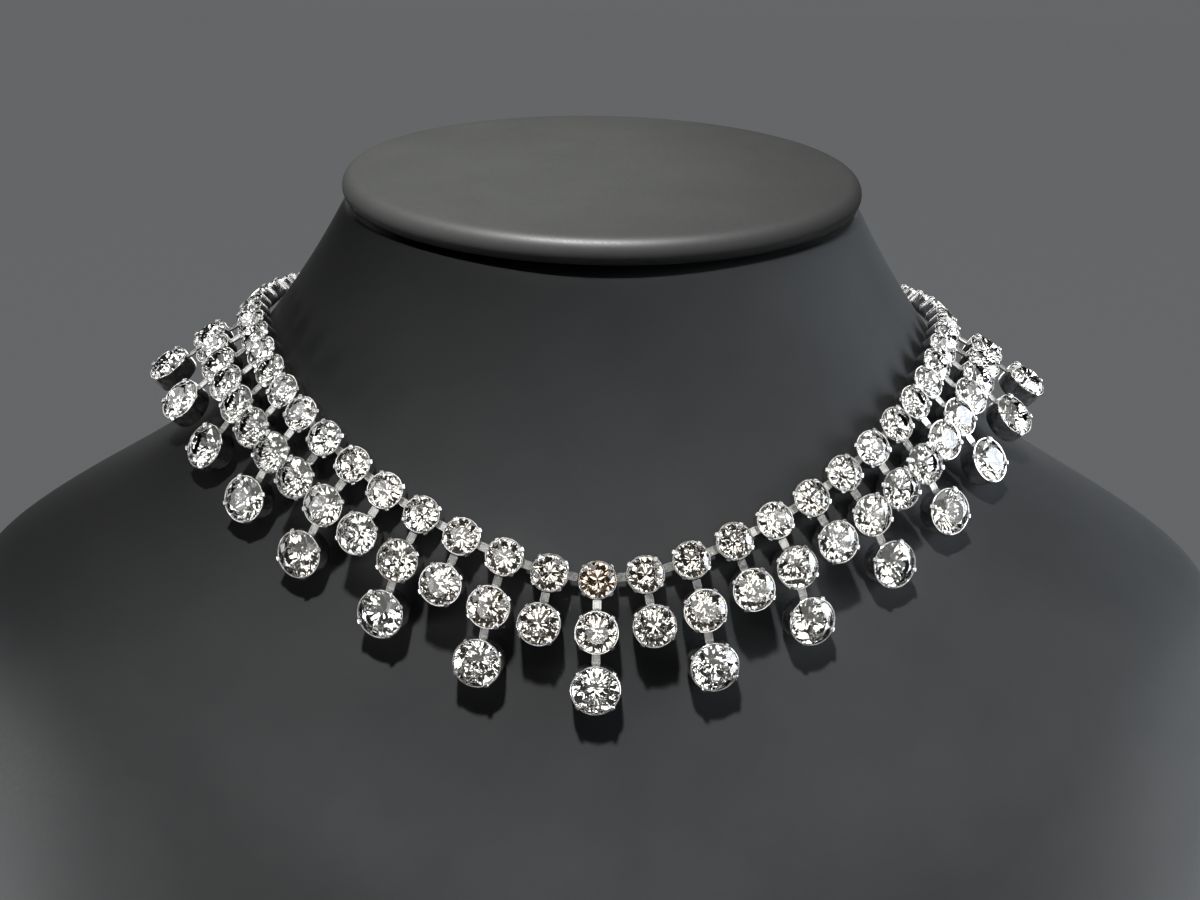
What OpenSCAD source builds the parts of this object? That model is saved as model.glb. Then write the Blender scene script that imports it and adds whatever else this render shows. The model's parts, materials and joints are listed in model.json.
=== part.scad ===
// Rhinestone necklace on a neck bust.
// A neck chain of round claw-set stones runs all the way round the neck. A row of
// larger stones hangs under its front and sides, and a drop hangs under every second
// stone of that row. Short flat tabs link the settings. The bust is a plain padded
// display form with a tilted cap on its neck. Units are millimetres, +Z is up, the
// front looks along -Y, and the origin is the centre of the bust's base.

/* [Stones] */
// Diameter of the stones of the neck chain
chain_stone_d = 6.1; // [5.6:0.1:6.4]
// Diameter of the stones of the middle row
middle_stone_d = 7.1; // [6.6:0.1:7.3]
// Diameter of the stones of the drops
drop_stone_d = 8.2; // [7.6:0.1:8.8]
// Width of the flat table, as a share of the stone's diameter
table_share = 0.56; // [0.5:0.01:0.62]
// Height of the crown over the girdle, as a share of the diameter
crown_share = 0.15; // [0.12:0.01:0.17]
// Depth of the point below the girdle, as a share of the diameter
pavilion_share = 0.42; // [0.38:0.01:0.44]
// Thickness of the girdle
girdle_t = 0.2; // [0.16:0.02:0.24]

/* [Settings] */
// Thickness of a cup's wall
cup_wall = 0.22; // [0.2:0.01:0.26]
// Thickness of a cup's floor
cup_floor = 0.35; // [0.3:0.05:0.5]
// Clearance between a stone and its metal
stone_gap = 0.12; // [0.1:0.01:0.14]
// Width of a claw
claw_w = 0.9; // [0.6:0.1:1]
// Thickness of a claw
claw_t = 0.3; // [0.26:0.02:0.34]
// Reach of a claw over its stone
claw_reach = 1; // [0.8:0.1:1.1]
// Width of a link tab
tab_w = 1.5; // [1.2:0.1:1.8]
// Thickness of a link tab
tab_t = 0.35; // [0.3:0.05:0.5]
// Depth of the link tabs below the girdles
tab_depth = 1.2; // [1:0.1:1.6]
// Play between a tab and the cup that it hooks into
tab_play = 0.12; // [0.1:0.01:0.2]

/* [Rows] */
// Length of a link from the neck chain to the middle row, stone to stone
middle_link = 9.2; // [8.9:0.1:9.6]
// Length of a link from the middle row to a drop, stone to stone
drop_link = 10.5; // [10.1:0.1:11]
// Last stone of the fringe on either side of the front one
fringe_end = 14; // [10:2:14]

/* [Clasp] */
// Width of the clasp
clasp_w = 5; // [4:0.5:6]
// Thickness of the clasp
clasp_t = 2; // [1.6:0.2:2.4]

/* [Neck bust] */
// Height of the front stone of the neck chain above the base
front_stone_h = 140; // [120:5:160]
// Clearance between the settings and the bust
rest_gap = 0.3; // [0.25:0.05:0.5]
// Width of the cap on the neck
cap_w = 104; // [102:1:105]
// Depth of the cap, front to back
cap_depth = 84.2; // [83:0.2:86]
// Thickness of the cap, which is fully rounded at its rim
cap_t = 5.8; // [5.4:0.2:6.4]
// Forward tilt of the cap
cap_tilt = 12.5; // [10:0.5:14]
// Height of the cap's centre above the front stone
cap_rise = 62.7; // [61:0.1:64]
// Depth of the neck's edge below the middle of the cap's rim
neck_drop = 2.9; // [2.8:0.1:3.4]
// Further depth of the neck's edge at the front, where the cap stands open
neck_gap = 1.9; // [0:0.1:2.2]
// Hollow of the neck between the cap and the chain
neck_hollow = 0.6; // [0:0.1:1.5]
// Width of the bust at its shoulders
bust_w = 260; // [250:2:270]
// Depth of the bust, front to back
bust_depth = 156; // [152:2:164]
// Width of the bust's base
base_w = 268; // [220:2:270]
// Depth of the bust's base
base_depth = 146; // [136:2:150]
// Squareness of the bust's plan, 2 is an ellipse
plan_power = 2.4; // [2:0.1:2.8]

/* [Hidden] */
// The route of the neck chain over its right half, from the front stone to the clasp,
// with one row for every four stones: place of the chain, slopes below the horizontal
// of the chain, of the middle row's links and of the drops' links, and how far the
// three rows stand off the bust.
// x, y, z, slopes of chain, middle links and drop links, stand-offs of the same
ROUTE = [
    [0, -68.4, 0, 74, 79, 86, 0.12, 0.85, 0.4],
    [31.2, -61.1, 9.3, 63, 66, 84, 0, 0.5, 1.45],
    [55.2, -41.6, 23.1, 53, 58, 68, 0.1, 0.4, 2.4],
    [68.3, -12.2, 32.4, 45, 38, 45, 0.62, 1.2, 2.6],
    [73.2, 21.2, 35.1, 43, 24, 30, 0.4, 4.75, 9.5],
    [63.2, 52.4, 35.6, 46, 34, 42, 0, 3, 6],
    [33.5, 69, 36.5, 56, 60, 70, 0, 0.5, 1],
    [0, 75, 37, 64, 72, 82, 0.15, 0, 0]
];
CHAIN_SLOPE = 3;
MIDDLE_SLOPE = 4;
DROP_SLOPE = 5;
CHAIN_STAND = 6;
MIDDLE_STAND = 7;
DROP_STAND = 8;

// How many degrees the links lean back towards the front, by station
MIDDLE_LEAN = [[0, 0], [2, 5], [4, 1.6], [8, 0]];
DROP_LEAN = [[0, 0], [2, 8.5], [4, 4.5], [8, 0]];
// How many degrees the cups at the sides turn towards the front, by station
CHAIN_TURN = [[0, 0], [4, 4], [8, 13], [12, 14], [16, 10], [20, 0]];
FRINGE_TURN = [[0, 0], [4, 6], [8, 18], [12, 18], [14, 15]];

half_stones = 28;
route_end = len(ROUTE) - 1;
samples_per_row = 16;
drops_side = floor(fringe_end / 2);

girdle_sides = 16;
table_sides = 8;
claws = 4;
cup_rim = girdle_t / 2 + 0.04;
claw_root = 1;

cap_y = -1.9;
cap_plug_h = 1.8;
cap_plug_inset = 6;
neck_inset = 0.7;
lip_h = 1.2;
gap_power = 10;
side_shoulder_z = -26;
front_chest_z = -72;
waist_share = 0.55;
front_fall = 0.43;
side_fall = 0.52;
front_reach = 0.35;
side_reach = 0.76;
rings_per_span = 3;
rim_steps = 8;

chain_cup_r = chain_stone_d / 2 + stone_gap + cup_wall;
middle_cup_r = middle_stone_d / 2 + stone_gap + cup_wall;
drop_cup_r = drop_stone_d / 2 + stone_gap + cup_wall;

// Depth of a cup's back below the girdle of its stone
function cup_depth(d) = pavilion_share * d + stone_gap + cup_floor;

function unit(v) = v / norm(v);
function mirrored(row) = [for (c = [0:len(row) - 1]) c == 0 ? -row[c] : row[c]];

// The route's row at an index that may lie one step past either end
function route_row(k) = k < 0 ? mirrored(ROUTE[-k])
    : k > route_end ? mirrored(ROUTE[2 * route_end - k])
    : ROUTE[k];

// Smooth curve through four points, from the second to the third, and its direction
function curve(a, b, c, d, t) =
    b + t * (c - a) / 2
    + t * t * (2 * a - 5 * b + 4 * c - d) / 2
    + t * t * t * (3 * b - 3 * c + d - a) / 2;
function curve_slope(a, b, c, d, t) =
    (c - a) / 2
    + t * (2 * a - 5 * b + 4 * c - d)
    + t * t * 3 * (3 * b - 3 * c + d - a) / 2;

function span(u) = min(floor(u), route_end - 1);
function route_at(u) = let (k = span(u))
    curve(route_row(k - 1), route_row(k), route_row(k + 1), route_row(k + 2), u - k);
function route_slope(u) = let (k = span(u))
    curve_slope(route_row(k - 1), route_row(k), route_row(k + 1), route_row(k + 2), u - k);
function xyz(row) = [row.x, row.y, row.z];

// Length along the route, so that the stones can be spaced evenly
SAMPLES = [for (k = [0:route_end * samples_per_row]) k / samples_per_row];
PLACES = [for (u = SAMPLES) xyz(route_at(u))];
STEPS = [for (k = [0:len(PLACES) - 1]) k == 0 ? 0 : norm(PLACES[k] - PLACES[k - 1])];
function run(k) = k == 0 ? 0 : run(k - 1) + STEPS[k];
LENGTHS = [for (k = [0:len(PLACES) - 1]) [run(k), SAMPLES[k]]];
half_length = run(len(PLACES) - 1);
pitch = half_length / half_stones;

// Everything about one station of the right half: its row of the route and the
// directions along the chain, outwards, and down across the chain
ROWS = [for (i = [0:half_stones]) route_at(lookup(i * pitch, LENGTHS))];
ALONG = [for (i = [0:half_stones]) unit(xyz(route_slope(lookup(i * pitch, LENGTHS))))];
OUT = [for (t = ALONG) unit([t.y, -t.x, 0])];
ACROSS = [for (i = [0:half_stones]) unit(cross(ALONG[i], OUT[i]))];

function down(i, slope, lean = 0) =
    cos(lean) * (cos(slope) * OUT[i] + sin(slope) * ACROSS[i]) - sin(lean) * ALONG[i];
function facing(i, slope, turn = 0) =
    cos(turn) * (sin(slope) * OUT[i] - cos(slope) * ACROSS[i]) - sin(turn) * ALONG[i];

// Slopes of the three rows' cups and the places of their girdles
function chain_slope(i) = ROWS[i][CHAIN_SLOPE];
function middle_slope(i) = (ROWS[i][MIDDLE_SLOPE] + ROWS[i][DROP_SLOPE]) / 2;
function drop_slope(i) = ROWS[i][DROP_SLOPE];
function chain_place(i) = xyz(ROWS[i]) + [0, 0, front_stone_h];
function middle_place(i) =
    chain_place(i)
    + middle_link * down(i, ROWS[i][MIDDLE_SLOPE], lookup(i, MIDDLE_LEAN));
function drop_place(i) =
    middle_place(i)
    + drop_link * down(i, ROWS[i][DROP_SLOPE], lookup(i, DROP_LEAN));

// The same piece on the left half is the right one seen in a mirror
function sided(v, side) = [side * v.x, v.y, v.z];

// Moves a piece from its own axes, X along the chain, Y up and Z off the bust
module at_station(i, cup, side) {
    z = sided(cup[1], side);
    y = unit(cross(z, side * sided(ALONG[i], side)));
    x = cross(y, z);
    p = sided(cup[0], side);
    multmatrix([
        [x.x, y.x, z.x, p.x],
        [x.y, y.y, z.y, p.y],
        [x.z, y.z, z.z, p.z]
    ])
        children();
}

// One round stone: an eight-sided table, twenty-four crown facets, a girdle and a
// pointed back
module cut_stone(d) {
    table_z = girdle_t / 2 + crown_share * d;
    point_z = -pavilion_share * d;
    turn = 360 / girdle_sides;
    girdle_top = [for (k = [0:girdle_sides - 1])
        [d / 2 * cos(k * turn), d / 2 * sin(k * turn), girdle_t / 2]];
    girdle_foot = [for (p = girdle_top) [p.x, p.y, -girdle_t / 2]];
    table = [for (k = [0:table_sides - 1])
        let (a = 2 * k * turn)
        [table_share * d / 2 * cos(a), table_share * d / 2 * sin(a), table_z]];
    first_foot = girdle_sides;
    first_table = 2 * girdle_sides;
    point = 2 * girdle_sides + table_sides;
    crown_faces = [for (k = [0:table_sides - 1])
        let (
            corner = first_table + k,
            next_corner = first_table + (k + 1) % table_sides,
            main = 2 * k,
            between = 2 * k + 1,
            next_main = (2 * k + 2) % girdle_sides
        )
        each [
            [corner, between, main],
            [corner, next_corner, between],
            [next_corner, next_main, between]
        ]];
    girdle_faces = [for (k = [0:girdle_sides - 1])
        let (next = (k + 1) % girdle_sides)
        each [
            [k, next, first_foot + next],
            [k, first_foot + next, first_foot + k],
            [first_foot + k, first_foot + next, point]
        ]];
    table_faces = [[for (k = [table_sides - 1:-1:0]) first_table + k]];
    polyhedron(
        points = concat(girdle_top, girdle_foot, table, [[0, 0, point_z]]),
        faces = concat(crown_faces, girdle_faces, table_faces),
        convexity = 4
    );
}

// One claw: a strip up the cup's wall, bent in over the crown
module claw(d) {
    bend = atan2(crown_share * d, (1 - table_share) * d / 2);
    inner_r = d / 2 + stone_gap;
    translate([inner_r, -claw_w / 2, -claw_root])
        cube([claw_t, claw_w, claw_root + cup_rim + claw_t / 2]);
    translate([inner_r, 0, girdle_t / 2])
        rotate([0, bend, 0])
            translate([-claw_reach, -claw_w / 2, stone_gap * (1 - sin(bend)) / cos(bend)])
                cube([claw_reach + claw_t / 2, claw_w, claw_t]);
}

// One cup with its claws
module setting(d) {
    cup_r = d / 2 + stone_gap + cup_wall;
    cup_d = cup_depth(d);
    difference() {
        translate([0, 0, -cup_d])
            cylinder(h = cup_d + cup_rim, r = cup_r, $fn = 64);
        translate([0, 0, cup_floor - cup_d])
            cylinder(h = cup_d + cup_rim, r = d / 2 + stone_gap, $fn = 64);
    }
    for (k = [0:claws - 1])
        rotate([0, 0, 45 + k * 360 / claws])
            claw(d);
}

// One flat tab, soldered to the cup at home and hooked into the cup at away. Each cup
// is given as its place, its facing and its radius. The tilts say how far the tab
// leaves the planes of the two cups.
module tab(home, away, side) {
    from = home[0] - tab_depth * home[1];
    reach = away[0] - tab_depth * away[1] - from;
    home_tilt = asin(abs(unit(reach) * home[1]));
    away_tilt = asin(abs(unit(reach) * away[1]));
    start = (home[2] - cup_wall / 2) / cos(home_tilt);
    end = norm(reach) - (away[2] + tab_play) / cos(away_tilt)
        - tab_t / 2 * tan(away_tilt);
    x = sided(unit(reach), side);
    y = unit(cross(sided(home[1] + away[1], side), x));
    z = cross(x, y);
    p = sided(from, side);
    multmatrix([
        [x.x, y.x, z.x, p.x],
        [x.y, y.y, z.y, p.y],
        [x.z, y.z, z.z, p.z]
    ])
        translate([start, -tab_w / 2, -tab_t / 2])
            cube([end - start, tab_w, tab_t]);
}

function chain_cup(i) =
    [chain_place(i), facing(i, chain_slope(i), lookup(i, CHAIN_TURN)), chain_cup_r];
function middle_cup(i) =
    [middle_place(i), facing(i, middle_slope(i), lookup(i, FRINGE_TURN)), middle_cup_r];
function drop_cup(i) =
    [drop_place(i), facing(i, drop_slope(i), lookup(i, FRINGE_TURN)), drop_cup_r];

module chain_setting(i, side) {
    at_station(i, chain_cup(i), side)
        setting(chain_stone_d);
    if (i > 0)
        tab(chain_cup(i), chain_cup(i - 1), side);
}

module middle_setting(i, side) {
    at_station(i, middle_cup(i), side)
        setting(middle_stone_d);
    tab(middle_cup(i), chain_cup(i), side);
}

// Both halves of a row, with the front piece made once
module both_sides(last) {
    for (i = [0:last]) {
        $i = i;
        $side = 1;
        children();
    }
    for (i = [1:last]) {
        $i = i;
        $side = -1;
        children();
    }
}

module neck_chain_stones() {
    color("#e9edf2")
        both_sides(half_stones - 1)
            at_station($i, chain_cup($i), $side)
                cut_stone(chain_stone_d);
}

module neck_chain_settings() {
    color("#a9abae")
        both_sides(half_stones - 1)
            chain_setting($i, $side);
}

module middle_row_stones() {
    color("#e9edf2")
        both_sides(fringe_end)
            at_station($i, middle_cup($i), $side)
                cut_stone(middle_stone_d);
}

module middle_row_settings() {
    color("#a9abae")
        both_sides(fringe_end)
            middle_setting($i, $side);
}

// Drops are numbered from the front one, 0, with the left ones negative
function drop_name(k) = k == 0 ? "front" : str(k < 0 ? "left_" : "right_", abs(k));
function stone_node(k) = str("drop_stone_", drop_name(k));
function setting_node(k) = str("drop_setting_", drop_name(k));

module drop_stone(k) {
    i = 2 * abs(k);
    color("#eef1f5")
        at_station(i, drop_cup(i), k < 0 ? -1 : 1)
            cut_stone(drop_stone_d);
}

module drop_setting(k) {
    i = 2 * abs(k);
    side = k < 0 ? -1 : 1;
    color("#a9abae") {
        at_station(i, drop_cup(i), side)
            setting(drop_stone_d);
        tab(drop_cup(i), middle_cup(i), side);
    }
}

// The closed clasp behind the neck, one plain piece with round ends
module clasp() {
    i = half_stones;
    back = cup_depth(chain_stone_d);
    next = chain_cup(i - 1);
    length = 2 * (next[0].x - back * next[1].x - next[2] - 2 * tab_play);
    color("#a9abae")
        at_station(i, chain_cup(i), 1)
            translate([0, 0, -back]) {
                linear_extrude(clasp_t)
                    square([length - clasp_w, clasp_w], center = true);
                for (end = [-1, 1])
                    translate([end * (length - clasp_w) / 2, 0, 0])
                        cylinder(h = clasp_t, d = clasp_w, $fn = 48);
            }
}

// The cap's own plane: across, back and up, tilted towards the front
CAP_CENTRE = [0, cap_y, front_stone_h + cap_rise];
CAP_BACK = [0, cos(cap_tilt), sin(cap_tilt)];
CAP_UP = [0, -sin(cap_tilt), cos(cap_tilt)];

// A point of an ellipse in the cap's plane, at a plan angle from the front
function cap_point(angle, inset, lift) =
    CAP_CENTRE
    + [(cap_w / 2 - inset) * sin(angle), 0, 0]
    - (cap_depth / 2 - inset) * cos(angle) * CAP_BACK
    + lift * CAP_UP;

// A point of the bust's plan, a rounded slab, at a plan angle from the front
function plan_point(angle, width, depth, z) =
    let (r = pow(
        pow(abs(sin(angle)) * 2 / width, plan_power)
        + pow(abs(cos(angle)) * 2 / depth, plan_power),
        -1 / plan_power
    ))
    [r * sin(angle), -r * cos(angle), z];

// The bust's surface behind each row of cups, clear of the edges of the turned ones
function behind(place, facing, d, cup_r, turn, stand) =
    place - (cup_depth(d) * cos(turn) + cup_r * sin(turn) + rest_gap + stand) * facing;
function chain_seat(i) =
    behind(chain_place(i), facing(i, chain_slope(i)), chain_stone_d, chain_cup_r,
        lookup(i, CHAIN_TURN), ROWS[i][CHAIN_STAND]);
function middle_seat(i) =
    behind(middle_place(i), facing(i, middle_slope(i)), middle_stone_d, middle_cup_r,
        lookup(i, FRINGE_TURN), ROWS[i][MIDDLE_STAND]);
function drop_seat(i) =
    behind(drop_place(i), facing(i, drop_slope(i)), drop_stone_d, drop_cup_r,
        lookup(i, FRINGE_TURN), ROWS[i][DROP_STAND]);

function blend(a, b, t) = a + t * (b - a);
function front_share(angle) = pow(max(cos(angle), 0), gap_power);
function plan_angle(p) = atan2(p.x, cap_y - p.y);

// The knots of one line down the bust, from the edge of the neck to the base
function knots(i) =
    let (
        seat = chain_seat(i),
        fringe = drop_seat(i),
        angle = plan_angle(seat),
        low_angle = atan2(fringe.x, -fringe.y),
        neck = cap_point(angle, neck_inset, -neck_drop - neck_gap * front_share(angle)),
        side = pow(sin(low_angle), 2),
        shoulder_z = front_stone_h + blend(front_chest_z, side_shoulder_z, side),
        shoulder = plan_point(low_angle, bust_w, bust_depth, shoulder_z),
        reach = blend(front_reach, side_reach, side),
        fall = blend(front_fall, side_fall, side),
        slope = [
            blend(fringe.x, shoulder.x, reach),
            blend(fringe.y, shoulder.y, reach),
            blend(fringe.z, shoulder.z, fall)
        ],
        waist = plan_point(low_angle, blend(base_w, bust_w, waist_share),
            blend(base_depth, bust_depth, waist_share), shoulder_z * 0.5),
        base = plan_point(low_angle, base_w, base_depth, lip_h)
    )
    [
        neck,
        (neck + seat) / 2 - neck_hollow * OUT[i],
        seat,
        middle_seat(i),
        fringe,
        slope,
        shoulder,
        waist,
        base
    ];

// One line down the bust, smooth through its knots, with its two small lips
function line_down(i) =
    let (
        k = knots(i),
        last = len(k) - 1,
        angle = plan_angle(k[2]),
        low_angle = atan2(k[4].x, -k[4].y)
    )
    concat(
        [
            cap_point(angle, cap_plug_inset, -cap_t / 2 - cap_plug_h),
            cap_point(angle, neck_inset + lip_h,
                -neck_drop - lip_h - neck_gap * front_share(angle) / 2)
        ],
        [for (s = [0:last - 1], t = [0:rings_per_span - 1])
            curve(k[max(s - 1, 0)], k[s], k[s + 1], k[min(s + 2, last)],
                t / rings_per_span)],
        [
            k[last],
            plan_point(low_angle, base_w - 2 * lip_h, base_depth - 2 * lip_h, 0)
        ]
    );

// A closed skin over a stack of rings, top ring first, each ring listed
// anticlockwise from above
module skin(rings) {
    sides = len(rings[0]);
    count = len(rings);
    walls = [for (r = [0:count - 2], k = [0:sides - 1])
        let (
            next = (k + 1) % sides,
            a = r * sides + k,
            b = r * sides + next,
            c = (r + 1) * sides + next,
            d = (r + 1) * sides + k
        )
        each [[a, b, c], [a, c, d]]];
    top = [for (k = [sides - 1:-1:0]) k];
    foot = [for (k = [0:sides - 1]) (count - 1) * sides + k];
    polyhedron(
        points = [for (ring = rings) each ring],
        faces = concat(walls, [top, foot]),
        convexity = 6
    );
}

module bust_body() {
    half = [for (i = [0:half_stones]) line_down(i)];
    lines = concat(half, [for (i = [half_stones - 1:-1:1])
        [for (p = half[i]) sided(p, -1)]]);
    color("#3d3e41")
        skin([for (r = [0:len(half[0]) - 1]) [for (l = lines) l[r]]]);
}

// The cap: a flat elliptical cushion with a round rim, on a low plug
module bust_cap() {
    rim = cap_t / 2;
    stations = 2 * half_stones;
    angles = [for (k = [0:stations - 1]) k * 360 / stations];
    rim_rings = [for (s = [0:rim_steps])
        let (a = 90 - 180 * s / rim_steps)
        [for (t = angles) cap_point(t, rim * (1 - cos(a)), rim * sin(a))]];
    plug_rings = [for (lift = [-rim, rest_gap - rim - cap_plug_h])
        [for (t = angles) cap_point(t, rim + cap_plug_inset, lift)]];
    color("#46474a")
        skin(concat(rim_rings, plug_rings));
}

bust_body();
bust_cap();
neck_chain_stones();
neck_chain_settings();
middle_row_stones();
middle_row_settings();
clasp();
for (k = [-drops_side:drops_side])
    drop_stone(k);
for (k = [-drops_side:drops_side])
    drop_setting(k);
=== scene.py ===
# Rhinestone necklace, closed round the neck bust that shows it. The script follows the
# object as it is put together: camera, bust, cap, stones, settings, clasp, studio.
import json
import math

import bmesh
import bpy
from mathutils import Matrix, Vector

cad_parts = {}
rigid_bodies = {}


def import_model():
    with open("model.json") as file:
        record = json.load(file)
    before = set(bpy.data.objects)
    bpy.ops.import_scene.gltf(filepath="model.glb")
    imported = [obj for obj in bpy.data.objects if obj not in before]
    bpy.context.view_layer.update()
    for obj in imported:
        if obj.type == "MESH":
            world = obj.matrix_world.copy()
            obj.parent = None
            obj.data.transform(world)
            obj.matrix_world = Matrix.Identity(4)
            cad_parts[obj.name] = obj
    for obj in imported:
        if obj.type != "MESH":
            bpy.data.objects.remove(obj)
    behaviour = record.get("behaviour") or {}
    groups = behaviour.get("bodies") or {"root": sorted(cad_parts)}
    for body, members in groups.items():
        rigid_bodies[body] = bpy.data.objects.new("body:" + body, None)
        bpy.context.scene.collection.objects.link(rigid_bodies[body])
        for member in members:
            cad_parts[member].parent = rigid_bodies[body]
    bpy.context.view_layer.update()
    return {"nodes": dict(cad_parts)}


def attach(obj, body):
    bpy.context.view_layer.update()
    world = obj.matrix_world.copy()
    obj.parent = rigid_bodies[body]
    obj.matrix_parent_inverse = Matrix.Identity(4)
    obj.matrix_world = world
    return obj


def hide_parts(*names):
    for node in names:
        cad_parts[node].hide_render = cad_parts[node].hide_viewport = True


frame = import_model()


# Camera
# It stands where the photograph was taken from, an arm's length in front of the
# necklace, a little above it, and turned by about a degree.
camera_target = Vector((0.00065, 0, 0.14763))
camera_distance = 0.4086
camera_lens_mm = 59.1
camera_elevation = math.radians(12.89)
camera_azimuth = math.radians(-0.57)
camera_roll = math.radians(1.15)
camera_clip = 0.01

backwards = Vector((
    math.sin(camera_azimuth) * math.cos(camera_elevation),
    -math.cos(camera_azimuth) * math.cos(camera_elevation),
    math.sin(camera_elevation),
))
level = Vector((0, 0, 1)).cross(backwards).normalized()
upright = backwards.cross(level)
to_right = math.cos(camera_roll) * level + math.sin(camera_roll) * upright
to_top = math.cos(camera_roll) * upright - math.sin(camera_roll) * level
camera = bpy.data.objects.new("camera", bpy.data.cameras.new("camera"))
camera.data.lens = camera_lens_mm
camera.data.clip_start = camera_clip
camera.matrix_world = Matrix.Translation(camera_target + camera_distance * backwards) \
    @ Matrix((to_right, to_top, backwards)).transposed().to_4x4()
bpy.context.scene.collection.objects.link(camera)
bpy.context.scene.camera = camera


# Bust body
# A moulded foam neck and shoulders under charcoal leatherette, drawn tight and tucked
# in at the neck's edge and under the base. The cover has a fine pressed grain.
bust_colour = (0.037, 0.038, 0.039, 1)
bust_worn_colour = (0.0445, 0.0452, 0.046, 1)
bust_roughness = 0.62
bust_gloss = 0.03
bust_grain_depth = 0.00001
grain_size = 0.0007
pore_smoothness = 0.6
pore_share = 0.7
crease_scale = 0.35
crease_share = 0.5
noise_detail = 4.0
grain_noise = 0.6
patch_scale = 45.0
patch_noise = 0.62
patch_contrast = 2.4
patch_dulling = 0.12
pore_gloss = 0.08
weld = 1e-6
base_facing = 0.99
quad_flatness = math.radians(60)
quad_squareness = math.radians(70)
form_levels = 2


class Nodes:
    """The nodes of one material or one geometry tree, all added by one method."""

    def __init__(self, tree):
        self.tree = tree

    def add(self, kind, settings, sockets):
        node = self.tree.nodes.new(kind)
        for name, value in settings.items():
            setattr(node, name, value)
        for name, value in sockets.items():
            socket = in_use(node.inputs, name)
            for end in value if isinstance(value, list) else [value]:
                if isinstance(end, Wire):
                    self.tree.links.new(end.socket, socket)
                else:
                    socket.default_value = end
        return Outputs(self, node)


def in_use(sockets, name):
    """The socket of that name or number that the node's settings leave in use."""
    if isinstance(name, int):
        return sockets[name]
    return next(s for s in sockets if s.enabled and s.name == name)


class Outputs:
    """The outputs of one node, by name or number."""

    def __init__(self, nodes, node):
        self.nodes, self.node = nodes, node

    def __getitem__(self, name):
        return Wire(self.nodes, in_use(self.node.outputs, name))


class Wire:
    """One socket, with sums on its value written as plain Python."""

    def __init__(self, nodes, socket):
        self.nodes, self.socket = nodes, socket

    def worked(self, operation, left, right):
        sockets = {0: left, 1: right}
        return self.nodes.add("ShaderNodeMath", {"operation": operation}, sockets)[0]

    def __add__(self, other):
        return self.worked("ADD", self, other)

    def __radd__(self, other):
        return self.worked("ADD", other, self)

    def __sub__(self, other):
        return self.worked("SUBTRACT", self, other)

    def __rsub__(self, other):
        return self.worked("SUBTRACT", other, self)

    def __mul__(self, other):
        return self.worked("MULTIPLY", self, other)

    def __rmul__(self, other):
        return self.worked("MULTIPLY", other, self)

    def __truediv__(self, other):
        return self.worked("DIVIDE", self, other)

    def __rtruediv__(self, other):
        return self.worked("DIVIDE", other, self)

    def at_most(self, other):
        return self.worked("MINIMUM", self, other)

    def at_least(self, other):
        return self.worked("MAXIMUM", self, other)


def new_finish(name):
    """A material with no nodes yet."""
    finish = bpy.data.materials.new(name)
    finish.use_nodes = True
    finish.node_tree.nodes.clear()
    return finish, Nodes(finish.node_tree)


def coat(nodes, sockets):
    """The material's own shader, on its surface."""
    shader = nodes.add("ShaderNodeBsdfPrincipled", {}, sockets)
    nodes.add("ShaderNodeOutputMaterial", {}, {"Surface": shader["BSDF"]})


def mixed(nodes, share, first, second):
    """A colour between two others."""
    return nodes.add("ShaderNodeMix", {"data_type": "RGBA"}, {
        "Factor": share, "A": first, "B": second})["Result"]


def spread_out(field, contrast):
    """A noise that reaches from 0 to 1, with its middle kept where it is."""
    return (field * contrast - (contrast - 1) / 2).at_least(0.0).at_most(1.0)


def noise(nodes, place, scale, roughness):
    """A cloudy value around a half."""
    return nodes.add("ShaderNodeTexNoise", {}, {
        "Vector": place, "Scale": scale, "Detail": noise_detail, "Roughness": roughness})["Fac"]


def leatherette(name, colour, worn_colour, roughness, gloss, grain_depth):
    """Smooth coated cover with a fine pressed grain, a little paler where it is rubbed."""
    finish, nodes = new_finish(name)
    place = nodes.add("ShaderNodeTexCoord", {}, {})["Object"]
    pores = nodes.add("ShaderNodeTexVoronoi", {"feature": "SMOOTH_F1"}, {
        "Vector": place, "Scale": 1 / grain_size, "Smoothness": pore_smoothness})["Distance"]
    creases = noise(nodes, place, crease_scale / grain_size, grain_noise)
    patches = noise(nodes, place, patch_scale, patch_noise)
    relief = pores * pore_share + creases * crease_share
    bump = nodes.add("ShaderNodeBump", {}, {
        "Strength": 1.0, "Distance": grain_depth, "Height": relief})["Normal"]
    coat(nodes, {
        "Base Color": mixed(nodes, spread_out(patches, patch_contrast), colour, worn_colour),
        "Roughness": roughness + (patches - 0.5) * patch_dulling - (pores - 0.4) * pore_gloss,
        "Specular IOR Level": gloss,
        "Normal": bump,
    })
    return finish


def merged_copy(node):
    """A CAD node's form, with its triangles joined at their shared corners."""
    shell = bmesh.new()
    shell.from_mesh(frame["nodes"][node].data)
    bmesh.ops.remove_doubles(shell, verts=shell.verts, dist=weld)
    return shell


def finished(shell, name, finish, node):
    """The smooth piece that a built form makes."""
    mesh = bpy.data.meshes.new(name)
    shell.to_mesh(mesh)
    shell.free()
    mesh.materials.append(finish)
    mesh.shade_smooth()
    return placed(mesh, name, node)


def placed(mesh, name, node):
    """The piece that shows in a CAD node's place."""
    mesh.name = name
    piece = bpy.data.objects.new(name, mesh)
    bpy.context.scene.collection.objects.link(piece)
    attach(piece, "root")
    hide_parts(node)
    return piece


def paired(shell):
    """Turns the pairs of triangles back into the four-sided faces of the form."""
    bmesh.ops.join_triangles(
        shell, faces=shell.faces,
        angle_face_threshold=quad_flatness, angle_shape_threshold=quad_squareness)


def rounded(piece):
    """Rounds a piece's form, the same in the view and in the render."""
    soften = piece.modifiers.new("form", "SUBSURF")
    soften.levels = form_levels
    soften.render_levels = form_levels


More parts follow.
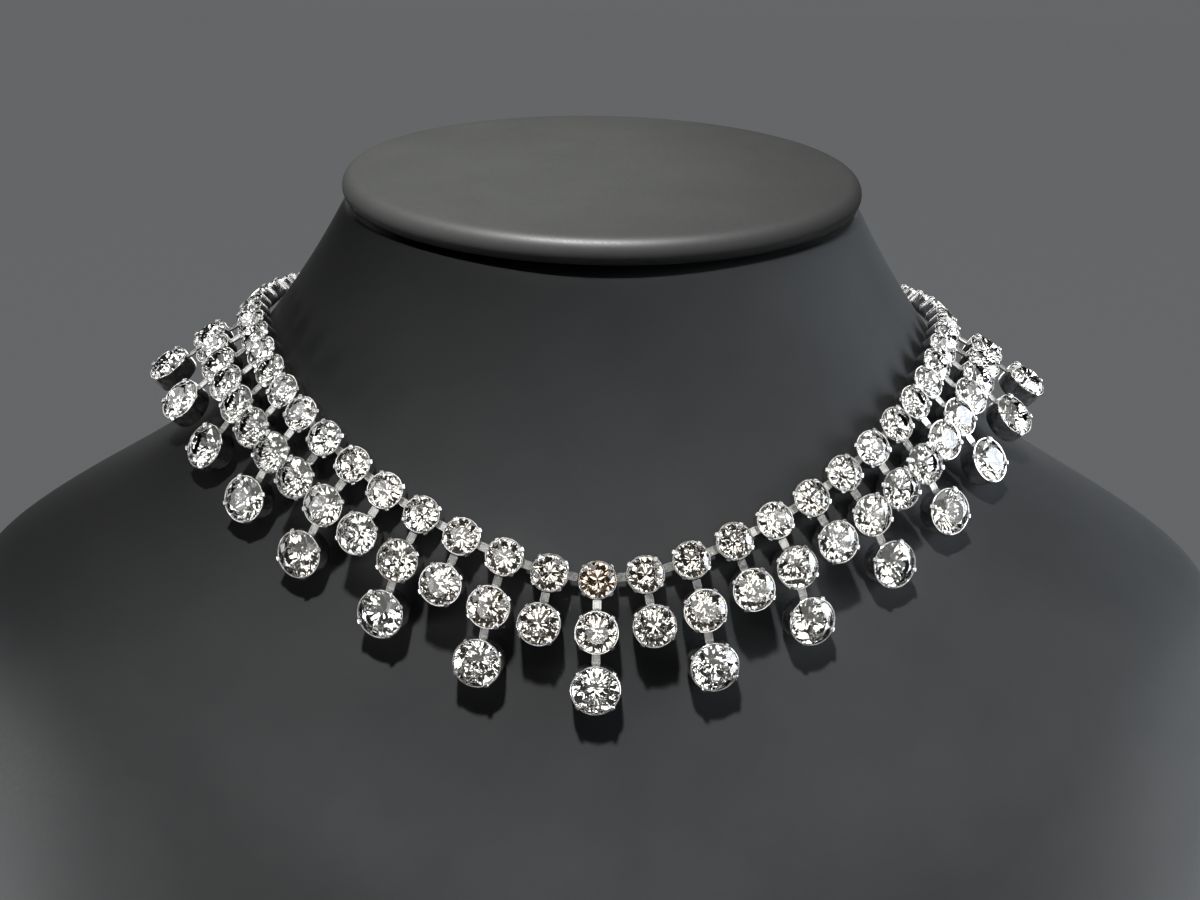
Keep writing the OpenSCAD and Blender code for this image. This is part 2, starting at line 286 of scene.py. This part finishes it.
bust_cover = leatherette(
    "bust_leatherette", bust_colour, bust_worn_colour, bust_roughness, bust_gloss, bust_grain_depth)
shell = merged_copy("bust_body")
flat_base = [f for f in shell.faces
             if f.normal.z < -base_facing and f.calc_center_median().z < weld]
bmesh.ops.dissolve_faces(shell, faces=flat_base)
paired(shell)
bust = finished(shell, "covered_bust", bust_cover, "bust_body")
rounded(bust)


# Bust cap
# A thin oval cushion of wadding and the same leatherette over a board, tilted towards
# the front on the cut neck. Its plug drops into the neck and its rim is fully round.
cap_colour = (0.0755, 0.078, 0.0745, 1)
cap_worn_colour = (0.0835, 0.086, 0.0815, 1)
cap_roughness = 0.5
cap_gloss = 0.9
cap_grain_depth = 0.000006
cap_dome = 0.0012
cap_rings = (0.9, 0.72, 0.5, 0.26)
same_facing = 0.9999

cap_cover = leatherette(
    "cap_leatherette", cap_colour, cap_worn_colour, cap_roughness, cap_gloss, cap_grain_depth)
shell = merged_copy("bust_cap")
upward = max(shell.faces, key=lambda f: f.calc_area() * (f.normal.z > 0)).normal.copy()
top_faces = [f for f in shell.faces if f.normal.dot(upward) > same_facing]
top = bmesh.ops.dissolve_faces(shell, faces=top_faces)["region"][0]
paired(shell)
middle = top.calc_center_median()
edge = [v.co.copy() for v in top.verts]
for share in cap_rings:
    bmesh.ops.inset_individual(shell, faces=[top], thickness=0, use_even_offset=False)
    lift = cap_dome * (1 - share ** 2)
    for vertex, corner in zip(top.verts, edge):
        vertex.co = middle + share * (corner - middle) + lift * upward
bmesh.ops.poke(shell, faces=[top])
cap = finished(shell, "cushioned_cap", cap_cover, "bust_cap")
rounded(cap)


# Stones
# Round machine-cut crystal: a table, eight stars, eight kites and sixteen halves above
# the girdle, sixteen halves and eight mains below. The back carries a mirror foil, drawn
# darker and browner behind some stones by the shares listed below. Those are counted
# from the front one, the left ones below 0.
table_share = 0.56
crown_share = 0.15
pavilion_share = 0.42
star_share = 0.5
lower_share = 0.24
girdle_half = 0.0001
facet_rounding = 0.011
one_facet = math.radians(0.6)
foil_facing = 0.2
chain_size = 0.0061
middle_size = 0.0071
drop_size = 0.0082
stone_play = 0.00008
stone_tilt = math.radians(1.0)
stone_spin = math.radians(137.5)
outermost = 0.99
crystal_index = 1.57
foil_roughness = 0.02
foil_colour = (0.935, 0.925, 0.9, 1)
foil_aged_colour = (0.62, 0.56, 0.47, 1)
foil_pinked_colour = (0.68, 0.51, 0.35, 1)
aged = {
    "neck_chain_stones": {
        -8: 0.1, -6: 0.2, -5: 0.25, -4: 0.15, -3: 0.3, -2: 0.25, -1: 0.42,
        1: 0.45, 2: 0.3, 3: 0.25, 4: 0.15, 5: 0.25, 6: 0.12, 8: 0.15},
    "middle_row_stones": {
        -6: 0.1, -4: 0.2, -3: 0.25, -2: 0.42, -1: 0.3, 0: 0.33, 1: 0.25, 2: 0.32,
        3: 0.2, 4: 0.12, 6: 0.1, 9: 0.1},
    "drop_stones": {-3: 0.12, -1: 0.1, 2: 0.1, 4: 0.06},
}
pinked = {("neck_chain_stones", 0): 0.5}


class Seat:
    """Where one stone sits: its girdle's centre, its facing and its sixteen corners."""

    def __init__(self, centre, facing, corners):
        self.centre, self.facing, self.corners = centre, facing, corners

    def turn(self, guess, place):
        """Settles the setting's own X axis and how the stone happens to lie in it."""
        self.along = max(self.corners, key=guess.dot)
        lie = Matrix.Rotation(place * stone_spin, 3, self.facing)
        self.stone_along = lie @ self.along
        self.stone_facing = Matrix.Rotation(stone_tilt, 3, self.stone_along) @ self.facing


def seats_of(node):
    """One seat for each stone of a CAD node, read from the stone's own corners."""
    shell = merged_copy(node)
    met, found = set(), []
    for start in shell.verts:
        if start in met:
            continue
        met.add(start)
        # The island grows while it is walked
        island = [start]
        for vertex in island:
            for spoke in vertex.link_edges:
                other = spoke.other_vert(vertex)
                if other not in met:
                    met.add(other)
                    island.append(other)
        point = max(island, key=lambda v: len(v.link_edges)).co
        others = [v.co for v in island if v.co != point]
        facing = (sum(others, Vector()) / len(others) - point).normalized()
        spread = [(v - point) - (v - point).dot(facing) * facing for v in others]
        radius = max(s.length for s in spread)
        girdle = [v for v, s in zip(others, spread) if s.length > outermost * radius]
        centre = sum(girdle, Vector()) / len(girdle)
        corners = [((v - centre) - (v - centre).dot(facing) * facing).normalized() for v in girdle]
        found.append(Seat(centre, facing, corners))
    shell.free()
    return found


def in_row(seats):
    """The seats from the left end of the row to the right, each turned to its row."""
    seats.sort(key=lambda s: math.atan2(s.centre.x, -s.centre.y))
    for place, seat in enumerate(seats):
        before, after = seats[max(place - 1, 0)], seats[min(place + 1, len(seats) - 1)]
        seat.turn((after.centre - before.centre).normalized(), place)
        seat.station = place - len(seats) // 2
    return seats


def cut_stone(name, size):
    """The cut as the closed form of its facets, with its edges a little rounded."""
    radius = size / 2 + stone_play
    table_radius = table_share * radius
    crown_height = crown_share * size
    depth = pavilion_share * size
    eighth = math.radians(45)
    half = eighth / 2
    star_radius = table_radius * math.cos(half)
    star_radius += star_share * (radius - star_radius)
    crown_slope = crown_height / (radius - table_radius)
    star_height = girdle_half + crown_slope * (radius - star_radius * math.cos(half))
    lower_radius = lower_share * radius
    lower_slope = (depth - girdle_half) / radius
    lower_height = lower_slope * lower_radius * math.cos(half) - depth

    stone = bmesh.new()
    rings = [
        (8, 0, table_radius, girdle_half + crown_height),
        (8, half, star_radius, star_height),
        (16, 0, radius, girdle_half),
        (16, 0, radius, -girdle_half),
        (8, half, lower_radius, lower_height),
    ]
    for count, turn, reach, height in rings:
        for step in range(count):
            angle = turn + step * math.tau / count
            stone.verts.new((reach * math.cos(angle), reach * math.sin(angle), height))
    stone.verts.new((0, 0, -depth))
    bmesh.ops.convex_hull(stone, input=stone.verts)
    bmesh.ops.dissolve_limit(
        stone, angle_limit=one_facet, verts=stone.verts, edges=stone.edges)
    bmesh.ops.bevel(
        stone, geom=stone.edges, offset=facet_rounding * size, segments=1, affect="EDGES")
    bmesh.ops.recalc_face_normals(stone, faces=stone.faces)
    backs = [face.normal.z < -foil_facing for face in stone.faces]
    mesh = bpy.data.meshes.new(name)
    stone.to_mesh(mesh)
    stone.free()
    mesh.attributes.new("foiled", "BOOLEAN", "FACE").data.foreach_set("value", backs)
    return bpy.data.objects.new(name, mesh)


def points_of(name, seats, readings):
    """A mesh with one point for each seat, with the seat's readings as attributes."""
    mesh = bpy.data.meshes.new(name)
    mesh.from_pydata([s.centre for s in seats], [], [])
    for title, (kind, key, take) in readings.items():
        attribute = mesh.attributes.new(title, kind, "POINT")
        for item, seat in zip(attribute.data, seats):
            setattr(item, key, take(seat))
    holder = bpy.data.objects.new(name, mesh)
    bpy.context.scene.collection.objects.link(holder)
    return holder


def new_tree(name, inputs):
    """A geometry tree with its named inputs, and the wires from them."""
    tree = bpy.data.node_groups.new(name, "GeometryNodeTree")
    tree.interface.new_socket("Seats", in_out="INPUT", socket_type="NodeSocketGeometry")
    for title, kind in inputs.items():
        tree.interface.new_socket(title, in_out="INPUT", socket_type=kind)
    tree.interface.new_socket("Pieces", in_out="OUTPUT", socket_type="NodeSocketGeometry")
    nodes = Nodes(tree)
    return tree, nodes, nodes.add("NodeGroupInput", {}, {})


def grown(holder, tree, values):
    """The plain mesh that the tree makes on a holder's points."""
    maker = holder.modifiers.new("maker", "NODES")
    maker.node_group = tree
    for item in tree.interface.items_tree:
        if item.in_out == "INPUT" and item.name in values:
            maker[item.identifier] = values[item.name]
    ready = holder.evaluated_get(bpy.context.evaluated_depsgraph_get())
    mesh = bpy.data.meshes.new_from_object(ready)
    holder.modifiers.remove(maker)
    bpy.data.objects.remove(holder)
    return mesh


def reading(nodes, title, kind):
    """One of the readings that the points or faces carry."""
    return nodes.add("GeometryNodeInputNamedAttribute", {"data_type": kind}, {
        "Name": title})["Attribute"]


def turned(nodes, first_axis, first_way, second_axis, second_way):
    """The rotation that lays one axis of a piece on a reading, and another near a second."""
    settings = {"primary_axis": first_axis, "secondary_axis": second_axis}
    return nodes.add("FunctionNodeAxesToRotation", settings, {
        "Primary Axis": reading(nodes, first_way, "FLOAT_VECTOR"),
        "Secondary Axis": reading(nodes, second_way, "FLOAT_VECTOR"),
    })["Rotation"]


stone_tree, nodes, given = new_tree("set_stones", {
    "Stone": "NodeSocketObject",
    "Crystal": "NodeSocketMaterial",
    "Foil": "NodeSocketMaterial",
})
pattern = nodes.add("GeometryNodeObjectInfo", {}, {"Object": given["Stone"]})["Geometry"]
seated = nodes.add("GeometryNodeInstanceOnPoints", {}, {
    "Points": given["Seats"],
    "Instance": pattern,
    "Rotation": turned(nodes, "Z", "facing", "X", "along"),
})["Instances"]
real = nodes.add("GeometryNodeRealizeInstances", {}, {"Geometry": seated})["Geometry"]
clear = nodes.add("GeometryNodeSetMaterial", {}, {
    "Geometry": real, "Material": given["Crystal"]})["Geometry"]
backed = nodes.add("GeometryNodeSetMaterial", {}, {
    "Geometry": clear,
    "Selection": reading(nodes, "foiled", "BOOLEAN"),
    "Material": given["Foil"],
})["Geometry"]
nodes.add("NodeGroupOutput", {}, {"Pieces": backed})

crystal, nodes = new_finish("cut_crystal")
coat(nodes, {
    "Base Color": (1, 1, 1, 1),
    "Roughness": 0.0,
    "IOR": crystal_index,
    "Transmission Weight": 1.0,
})
foil, nodes = new_finish("mirror_foil")
# This mark mixes the foil towards a darker brown, stone by stone, by the listed shares.
age = nodes.add("ShaderNodeAttribute", {"attribute_name": "age"}, {})["Fac"]
pink = nodes.add("ShaderNodeAttribute", {"attribute_name": "pink"}, {})["Fac"]
coat(nodes, {
    "Base Color": mixed(
        nodes, pink, mixed(nodes, age, foil_colour, foil_aged_colour), foil_pinked_colour),
    "Metallic": 1.0,
    "Roughness": foil_roughness,
})

chain_seats = in_row(seats_of("neck_chain_stones"))
middle_seats = in_row(seats_of("middle_row_stones"))
drop_seats = []
for node in frame["nodes"]:
    if node.startswith("drop_stone_"):
        seat = seats_of(node)[0]
        seat.node = node
        drop_seats.append(seat)
in_row(drop_seats)
stone_rows = [
    ("neck_chain_stones", chain_seats, chain_size),
    ("middle_row_stones", middle_seats, middle_size),
]
stone_rows += [(seat.node, [seat], drop_size) for seat in drop_seats]
for title, seats in zip(aged, (chain_seats, middle_seats, drop_seats)):
    for seat in seats:
        seat.age = aged[title].get(seat.station, 0.0)
        seat.pink = pinked.get((title, seat.station), 0.0)
patterns = {size: cut_stone("stone_pattern", size)
            for size in (chain_size, middle_size, drop_size)}
for node, seats, size in stone_rows:
    holder = points_of(node, seats, {
        "facing": ("FLOAT_VECTOR", "vector", lambda s: s.stone_facing),
        "along": ("FLOAT_VECTOR", "vector", lambda s: s.stone_along),
        "age": ("FLOAT", "value", lambda s: s.age),
        "pink": ("FLOAT", "value", lambda s: s.pink),
    })
    mesh = grown(holder, stone_tree, {"Stone": patterns[size], "Crystal": crystal, "Foil": foil})
    placed(mesh, "cut_" + node, node)
for pattern in patterns.values():
    bpy.data.objects.remove(pattern)


# Settings
# Pressed brass cups with silver plating. Four claws stand on each wall and are bent in
# over the crown. A flat tab is soldered to each cup and hooks into the next one.
stone_gap = 0.00012
cup_wall = 0.00022
cup_floor = 0.00035
rim_above = 0.00014
rim_bevel = 0.00005
foot_round = 0.0004
foot_profile = ((2.2, 0), (1, 0.15), (0.35, 0.6), (0.1, 1.3), (0, 3))
cup_steps = 32
claw_count = 4
first_claw = math.radians(45)
claw_width = 0.0009
claw_thickness = 0.0003
claw_reach = 0.00065
claw_root = 0.0011
claw_clearance = 0.00006
claw_section = (
    (1, 0.45), (0.7, 1), (-0.7, 1), (-1, 0.45), (-1, -0.45), (-0.7, -1), (0.7, -1), (1, -0.45))
tab_width = 0.0015
tab_thickness = 0.00035
tab_depth = 0.0012
tab_play = 0.00012
tab_pattern_length = 0.002
tab_easing = 0.2
panel_margin = 0.15
panel_slope = 0.05
panel_depth = 0.25
hard_edge = math.radians(35)
plating_colour = (0.88, 0.875, 0.86, 1)
# Painted shade: a noise lays the dark shadowed colour over the plating in patches, and the same noise
# roughens the metal as wear.
shadowed_colour = (0.26, 0.255, 0.245, 1)
# Painted shade on the tabs: they take a darker grey than the cups of the same plating.
tab_shade_colour = (0.36, 0.355, 0.335, 1)
tab_shade_share = 0.65
plating_roughness = 0.16
wear_dulling = 0.16
shade_and_wear_scale = 900.0
shade_and_wear_noise = 0.6
shade_contrast = 2.0


def cup_radius(size):
    """The outside of the wall round a stone of that size."""
    return size / 2 + stone_gap + cup_wall


def pattern_object(shape, name):
    """A shape that a tree repeats, with its hard edges kept."""
    bmesh.ops.recalc_face_normals(shape, faces=shape.faces)
    mesh = bpy.data.meshes.new(name)
    shape.to_mesh(mesh)
    shape.free()
    mesh.shade_smooth()
    mesh.set_sharp_from_angle(angle=hard_edge)
    return bpy.data.objects.new(name, mesh)


def cup(size):
    """A round cup turned from its section, closed at the middle of its floor and back."""
    outer, inner = cup_radius(size), size / 2 + stone_gap
    floor = -pavilion_share * size - stone_gap
    back = floor - cup_floor
    section = [(0, back)]
    section += [(outer - inset * foot_round, back + rise * foot_round)
                for inset, rise in foot_profile]
    section += [
        (outer, rim_above - rim_bevel), (outer - rim_bevel, rim_above),
        (inner + rim_bevel, rim_above), (inner, rim_above - rim_bevel),
        (inner, floor), (0, floor),
    ]
    shape = bmesh.new()
    line = [shape.verts.new((reach, 0, height)) for reach, height in section]
    for low, high in zip(line, line[1:]):
        shape.edges.new((low, high))
    bmesh.ops.spin(
        shape, geom=shape.verts[:] + shape.edges[:], cent=(0, 0, 0), axis=(0, 0, 1),
        angle=math.tau, steps=cup_steps)
    bmesh.ops.remove_doubles(shape, verts=shape.verts, dist=weld)
    return pattern_object(shape, "cup")


def claw(size):
    """A strip that rises from the wall and lies over the crown, with a rounded tip. Each
    station is a point of its middle line, with its shares of the full width and thickness."""
    slope = math.atan2(crown_share, (1 - table_share) / 2)
    wall = cup_radius(size) - cup_wall / 2 + claw_thickness / 2
    lift = claw_clearance + claw_thickness / 2
    crown_edge = Vector((size / 2, girdle_half))
    inwards = Vector((-math.cos(slope), math.sin(slope)))
    off = Vector((math.sin(slope), math.cos(slope)))

    def over(reach, extra=0):
        return crown_edge + reach * inwards + (lift + extra) * off

    stations = [
        (Vector((wall - 0.00006, -claw_root)), 0.8, 0.7),
        (Vector((wall, -0.7 * claw_root)), 0.95, 1.0),
        (Vector((wall + 0.00003, -0.3 * claw_root)), 1.0, 1.2),
        (Vector((wall + 0.00007, 0.06 * claw_root)), 1.05, 1.6),
        (over(0.05 * claw_reach, 0.00015), 1.08, 1.95),
        (over(0.45 * claw_reach, 0.00012), 1.0, 1.8),
        (over(0.8 * claw_reach, 0.00005), 0.78, 1.25),
        (over(1.0 * claw_reach, -0.00003), 0.4, 0.5),
    ]
    shape = bmesh.new()
    rings = []
    for place, (spot, widen, thicken) in enumerate(stations):
        before = stations[max(place - 1, 0)][0]
        after = stations[min(place + 1, len(stations) - 1)][0]
        way = (after - before).normalized()
        out = Vector((way.y, -way.x))
        half_width, half_thick = widen * claw_width / 2, thicken * claw_thickness / 2
        ring = []
        for side, up in claw_section:
            flat = spot + up * half_thick * out
            ring.append(shape.verts.new((flat.x, side * half_width, flat.y)))
        rings.append(ring)
    for low, high in zip(rings, rings[1:]):
        for step in range(len(low)):
            after = (step + 1) % len(low)
            shape.faces.new((low[step], low[after], high[after], high[step]))
    shape.faces.new(rings[0][::-1])
    shape.faces.new(rings[-1])
    return pattern_object(shape, "claw")


def tab():
    """A flat strip with eased corners and a shallow pressed panel."""
    shape = bmesh.new()
    bmesh.ops.create_cube(shape, size=1)
    for vertex in shape.verts:
        vertex.co.x = (vertex.co.x + 0.5) * tab_pattern_length
        vertex.co.y *= tab_width
        vertex.co.z *= tab_thickness
    bmesh.ops.bevel(
        shape, geom=shape.edges, offset=tab_easing * tab_thickness, segments=2, affect="EDGES")
    panel = max(shape.faces, key=lambda f: (round(f.normal.z, 3), f.calc_area()))
    bmesh.ops.inset_individual(shape, faces=[panel], thickness=panel_margin * tab_width)
    bmesh.ops.inset_individual(
        shape, faces=[panel], thickness=panel_slope * tab_width,
        depth=-panel_depth * tab_thickness)
    pattern = pattern_object(shape, "tab")
    # Every corner of the tab carries the mark for its painted shade, a darker grey.
    tab_shade = pattern.data.attributes.new("tab_shade", "FLOAT", "POINT")
    tab_shade.data.foreach_set("value", [1.0] * len(tab_shade.data))
    return pattern


setting_tree, nodes, given = new_tree("claw_settings", {
    "Cup": "NodeSocketObject",
    "Claw": "NodeSocketObject",
    "Tab": "NodeSocketObject",
    "Claws": "NodeSocketInt",
    "First_claw": "NodeSocketFloat",
    "Metal": "NodeSocketMaterial",
})
shapes = {title: nodes.add("GeometryNodeObjectInfo", {}, {"Object": given[title]})["Geometry"]
          for title in ("Cup", "Claw", "Tab")}
index = nodes.add("GeometryNodeInputIndex", {}, {})["Index"]
turn = given["First_claw"] + index * math.tau / given["Claws"]
hub = nodes.add("GeometryNodeMeshLine", {}, {
    "Count": given["Claws"], "Offset": (0, 0, 0)})["Mesh"]
claws = nodes.add("GeometryNodeInstanceOnPoints", {}, {
    "Points": hub,
    "Instance": shapes["Claw"],
    "Rotation": nodes.add("ShaderNodeCombineXYZ", {}, {"Z": turn})["Vector"],
})["Instances"]
whole = nodes.add("GeometryNodeJoinGeometry", {}, {
    "Geometry": [shapes["Cup"], claws]})["Geometry"]
cups = nodes.add("GeometryNodeInstanceOnPoints", {}, {
    "Points": given["Seats"],
    "Instance": whole,
    "Rotation": turned(nodes, "Z", "facing", "X", "along"),
})["Instances"]
ends = nodes.add("GeometryNodeSetPosition", {}, {
    "Geometry": given["Seats"], "Position": reading(nodes, "link_start", "FLOAT_VECTOR")})["Geometry"]
stretch = reading(nodes, "link_stretch", "FLOAT")
tabs = nodes.add("GeometryNodeInstanceOnPoints", {}, {
    "Points": ends,
    "Selection": stretch,
    "Instance": shapes["Tab"],
    "Rotation": turned(nodes, "X", "link_way", "Z", "link_facing"),
    "Scale": nodes.add("ShaderNodeCombineXYZ", {}, {"X": stretch, "Y": 1.0, "Z": 1.0})["Vector"],
})["Instances"]
joined = nodes.add("GeometryNodeJoinGeometry", {}, {"Geometry": [cups, tabs]})["Geometry"]
real = nodes.add("GeometryNodeRealizeInstances", {}, {"Geometry": joined})["Geometry"]
plated = nodes.add("GeometryNodeSetMaterial", {}, {
    "Geometry": real, "Material": given["Metal"]})["Geometry"]
nodes.add("NodeGroupOutput", {}, {"Pieces": plated})


def linked(home, home_size, away, away_size):
    """Settles the tab from one cup's wall to just short of the next one's."""
    start = home.centre - tab_depth * home.facing
    reach = away.centre - tab_depth * away.facing - start
    way = reach.normalized()
    home_tilt = math.asin(abs(way.dot(home.facing)))
    away_tilt = math.asin(abs(way.dot(away.facing)))
    near = (cup_radius(home_size) - cup_wall / 2) / math.cos(home_tilt)
    far = reach.length - (cup_radius(away_size) + tab_play) / math.cos(away_tilt)
    far -= tab_thickness / 2 * math.tan(away_tilt)
    home.link_start = start + near * way
    home.link_way = way
    home.link_facing = (home.facing + away.facing).normalized()
    home.link_stretch = (far - near) / tab_pattern_length


front = len(chain_seats) // 2
for place, seat in enumerate(chain_seats):
    seat.link_start = seat.centre
    seat.link_way = seat.along
    seat.link_facing = seat.facing
    seat.link_stretch = 0.0
    if place != front:
        towards_front = 1 if place < front else -1
        linked(seat, chain_size, chain_seats[place + towards_front], chain_size)
for place, seat in enumerate(middle_seats):
    linked(seat, middle_size, chain_seats[front + place - len(middle_seats) // 2], chain_size)
for place, seat in enumerate(drop_seats):
    linked(seat, drop_size, middle_seats[2 * place], middle_size)

plating, nodes = new_finish("silver_plating")
place = nodes.add("ShaderNodeTexCoord", {}, {})["Object"]
# Painted shade in patches: this noise mixes the plating towards the dark shadowed colour, and it also
# roughens the metal as real wear.
shade_and_wear = noise(nodes, place, shade_and_wear_scale, shade_and_wear_noise)
# The tabs' mark mixes in the darker grey of their painted shade.
tab_shade = nodes.add("ShaderNodeAttribute", {"attribute_name": "tab_shade"}, {})["Fac"]
shaded_plating = mixed(nodes, spread_out(shade_and_wear, shade_contrast), shadowed_colour, plating_colour)
coat(nodes, {
    "Base Color": mixed(nodes, tab_shade * tab_shade_share, shaded_plating, tab_shade_colour),
    "Metallic": 1.0,
    "Roughness": plating_roughness + shade_and_wear * wear_dulling,
})
tab_shape = tab()
setting_rows = [(node.replace("stone", "setting"), seats, size) for node, seats, size in stone_rows]
shapes_of = {size: (cup(size), claw(size)) for size in patterns}
for node, seats, size in setting_rows:
    holder = points_of(node, seats, {
        "facing": ("FLOAT_VECTOR", "vector", lambda s: s.facing),
        "along": ("FLOAT_VECTOR", "vector", lambda s: s.along),
        "link_start": ("FLOAT_VECTOR", "vector", lambda s: s.link_start),
        "link_way": ("FLOAT_VECTOR", "vector", lambda s: s.link_way),
        "link_facing": ("FLOAT_VECTOR", "vector", lambda s: s.link_facing),
        "link_stretch": ("FLOAT", "value", lambda s: s.link_stretch),
    })
    cup_shape, claw_shape = shapes_of[size]
    mesh = grown(holder, setting_tree, {
        "Cup": cup_shape, "Claw": claw_shape, "Tab": tab_shape,
        "Claws": claw_count, "First_claw": first_claw, "Metal": plating,
    })
    placed(mesh, "claw_" + node, node)


# Clasp
# One plain plated plate with round ends, behind the neck, where the two ends of the
# chain hook into it.
clasp_easing = 0.0003
clasp_flat = math.radians(1)
clasp_corner = math.radians(40)
clasp_hard_edge = math.radians(30)

shell = merged_copy("clasp")
bmesh.ops.dissolve_limit(shell, angle_limit=clasp_flat, verts=shell.verts, edges=shell.edges)
corners = [e for e in shell.edges if e.calc_face_angle(0) > clasp_corner]
bmesh.ops.bevel(shell, geom=corners, offset=clasp_easing, segments=3, affect="EDGES")
clasp = finished(shell, "plated_clasp", plating, "clasp")
clasp.data.set_sharp_from_angle(angle=clasp_hard_edge)


# Studio
# A plain grey floor. A key light high in front makes the short dark shadows, and the cap
# has a light of its own. Fills and low bounces lighten the bust, and bright strips stand
# all round for the stones and the metal to mirror.
floor_colour = (0.5, 0.51, 0.52, 1)
floor_roughness = 0.8
floor_rings = ((40.0, 0.0), (60.0, 5.0))
floor_corners = 48
floor_light_strength = 0.75
floor_light_angle = math.radians(60)
lamp_size = 0.09
key_aim = Vector((0.01, -0.18, 0.04))
cap_aim = Vector((-0.025, 0, 0.203))
bounce_size = 0.12
left_aim = Vector((-0.12, -0.04, 0.02))
right_aim = Vector((0.12, -0.04, 0.02))
cool_light = (0.86, 0.93, 1.0)
strip_azimuths = range(-176, 177, 22)
strip_elevations = (-2, 30, 62)
strip_stagger = 7
strip_width = 0.16
strip_height = 0.36
strip_brightness = 3.6
air_colour = (0.9, 0.95, 1.0, 1)
air_strength = 0.025

floor_shape = bmesh.new()
rings = [[floor_shape.verts.new((reach * math.cos(turn), reach * math.sin(turn), height))
          for turn in (step * math.tau / floor_corners for step in range(floor_corners))]
         for reach, height in floor_rings]
floor_shape.faces.new(rings[0])
for step in range(floor_corners):
    after = (step + 1) % floor_corners
    floor_shape.faces.new((rings[0][step], rings[1][step], rings[1][after], rings[0][after]))
floor_mesh = bpy.data.meshes.new("floor")
floor_shape.to_mesh(floor_mesh)
floor_shape.free()
floor_finish, nodes = new_finish("floor_paper")
coat(nodes, {"Base Color": floor_colour, "Roughness": floor_roughness})
floor_mesh.materials.append(floor_finish)
floor = bpy.data.objects.new("floor", floor_mesh)
bpy.context.scene.collection.objects.link(floor)
floor.visible_diffuse = False


def lit_alone(name, wanted):
    """A collection of the pieces that a light is for."""
    pieces = bpy.data.collections.new(name)
    for piece in bpy.context.scene.objects:
        if piece.type == "MESH" and wanted(piece.name):
            pieces.objects.link(piece)
    return pieces


def softbox(name, azimuth, elevation, distance, width, height, brightness, pieces,
            colour=(1, 1, 1), aim=camera_target, reach=0):
    """A flat soft light round the necklace, that the camera doesn't see. With a reach its
    grid keeps the light within that distance of the spot that it is aimed at."""
    out = Matrix.Rotation(math.radians(azimuth), 3, "Z") @ Vector((
        0, -math.cos(math.radians(elevation)), math.sin(math.radians(elevation))))
    stand = camera_target + distance * out
    light = bpy.data.lights.new(name, "AREA")
    light.shape = "RECTANGLE"
    light.size = width
    light.size_y = height
    light.energy = brightness * math.pi * width * height
    light.color = colour
    if reach:
        half = math.atan(reach / (stand - aim).length)
        light.spread = 2 * half
        light.energy *= 1 - half / math.tan(half)
    lamp = bpy.data.objects.new(name, light)
    lamp.matrix_world = Matrix.Translation(stand) \
        @ (stand - aim).to_track_quat("Z", "Y").to_matrix().to_4x4()
    lamp.visible_camera = False
    lamp.light_linking.receiver_collection = pieces
    bpy.context.scene.collection.objects.link(lamp)


jewels = lit_alone("jewels", lambda name: name.startswith(("cut_", "claw_", "plated_")))
cushion = lit_alone("cushion", lambda name: name == "cushioned_cap")
below_cap = lit_alone("below_cap", lambda name: name not in ("floor", "cushioned_cap"))
form = lit_alone("form", lambda name: name == "covered_bust")
stage = lit_alone("stage", lambda name: name == "floor")
softbox("key_light", -10, 59, 1.3, lamp_size, lamp_size, 2950, below_cap, aim=key_aim, reach=0.23)
softbox("cap_light", -10, 61, 1.3, lamp_size, lamp_size, 1270, cushion, aim=cap_aim, reach=0.15)
softbox("right_fill", 90, 0, 1.0, 0.6, 1.0, 14, below_cap, cool_light)
softbox("back_fill", 180, 30, 1.2, 1.0, 0.8, 7.5, form)
softbox(
    "left_bounce", -78, -25, 0.31, bounce_size, bounce_size, 42, below_cap,
    aim=left_aim, reach=0.12)
softbox(
    "right_bounce", 78, -25, 0.31, bounce_size, bounce_size, 22, below_cap,
    aim=right_aim, reach=0.12)
for place, azimuth in enumerate(strip_azimuths):
    for row, elevation in enumerate(strip_elevations):
        width = strip_width * math.cos(math.radians(elevation))
        softbox(
            f"strip_{place}_{row}", azimuth + strip_stagger * row, elevation, 1.0,
            width, strip_height, strip_brightness, jewels)

overhead = bpy.data.lights.new("floor_light", "SUN")
overhead.energy = floor_light_strength
overhead.angle = floor_light_angle
overhead_lamp = bpy.data.objects.new("floor_light", overhead)
overhead_lamp.light_linking.receiver_collection = stage
bpy.context.scene.collection.objects.link(overhead_lamp)

world = bpy.data.worlds.new("studio")
world.use_nodes = True
world.node_tree.nodes.clear()
nodes = Nodes(world.node_tree)
air = nodes.add("ShaderNodeBackground", {}, {"Color": air_colour, "Strength": air_strength})
nodes.add("ShaderNodeOutputWorld", {}, {"Surface": air["Background"]})
bpy.context.scene.world = world
bpy.context.scene.view_settings.view_transform = "Standard"
